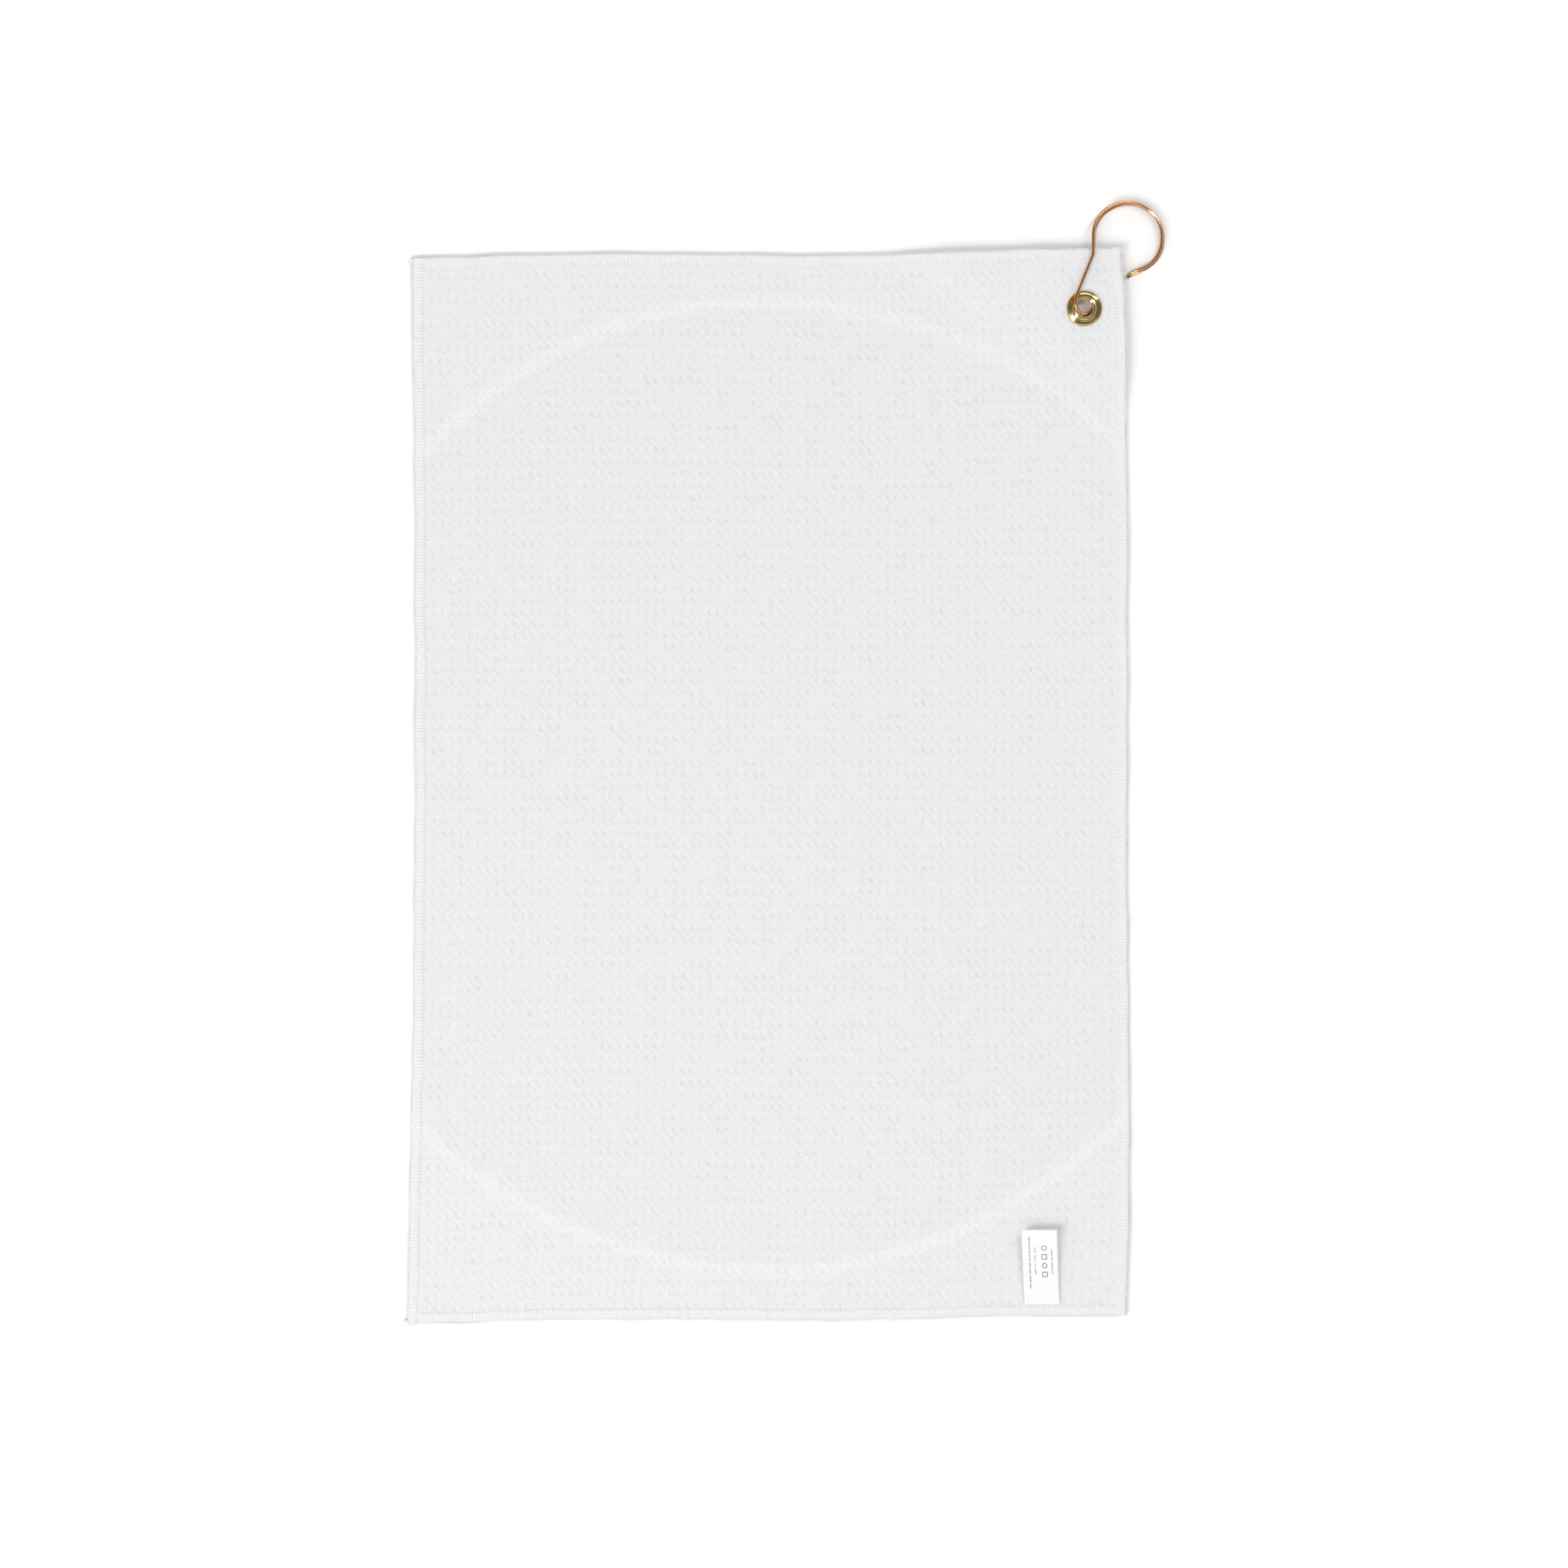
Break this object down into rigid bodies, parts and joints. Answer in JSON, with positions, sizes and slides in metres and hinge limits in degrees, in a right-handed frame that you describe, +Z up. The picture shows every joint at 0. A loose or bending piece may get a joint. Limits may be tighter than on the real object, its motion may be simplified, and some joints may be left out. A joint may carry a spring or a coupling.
{
  "type": "golf towel",
  "caption": "Flat rectangular waffle-weave golf towel with overlocked edges, a corner grommet, a bent wire hook and a sewn care label.",
  "frame": {"origin": "middle of the towel on its underside, on the surface it lies on", "axes": "+Y along the towel towards the end with the grommet, +X across it towards the side with the grommet, +Z up, out of the plain side"},
  "size_m": [0.432, 0.6371, 0.0081],
  "materials": {
    "towel_cloth": "white microfibre waffle weave, matt",
    "overlock_thread": "white spun polyester thread, overlocked",
    "needle_thread": "white spun polyester thread",
    "label_tape": "white satin tape with plain grey marks",
    "grommet_brass": "polished yellow brass",
    "hook_wire": "polished copper-toned wire"
  },
  "bodies": {
    "towel_lower": {"towel_panel_lower": "towel_cloth", "overlock_bottom": "overlock_thread", "overlock_left_lower": "overlock_thread", "overlock_right_lower": "overlock_thread", "needle_thread_bottom": "needle_thread", "needle_thread_left_lower": "needle_thread", "needle_thread_right_lower": "needle_thread"},
    "towel_upper": {"towel_panel_upper": "towel_cloth", "overlock_top": "overlock_thread", "overlock_left_upper": "overlock_thread", "overlock_right_upper": "overlock_thread", "needle_thread_top": "needle_thread", "needle_thread_left_upper": "needle_thread", "needle_thread_right_upper": "needle_thread", "grommet": "grommet_brass", "grommet_washer": "grommet_brass"},
    "label": {"care_label": "label_tape"},
    "hook": {"hook_wire": "hook_wire"}
  },
  "joints": [
    {"name": "centre_fold", "type": "hinge", "parent": "towel_lower", "child": "towel_upper", "pos_m": [0, 0.001, 0.003], "axis": [1, 0, 0], "range_deg": [0, 178]},
    {"name": "hook_swivel", "type": "hinge", "parent": "towel_upper", "child": "hook", "pos_m": [0.1796, 0.2703, 0.004], "axis": [0, 0, 1], "range_deg": [-75, 0]},
    {"name": "label_flap", "type": "hinge", "parent": "towel_lower", "child": "label", "pos_m": [0.1556, -0.2988, 0.00265], "axis": [1, 0, 0], "range_deg": [-3, 150]}
  ]
}
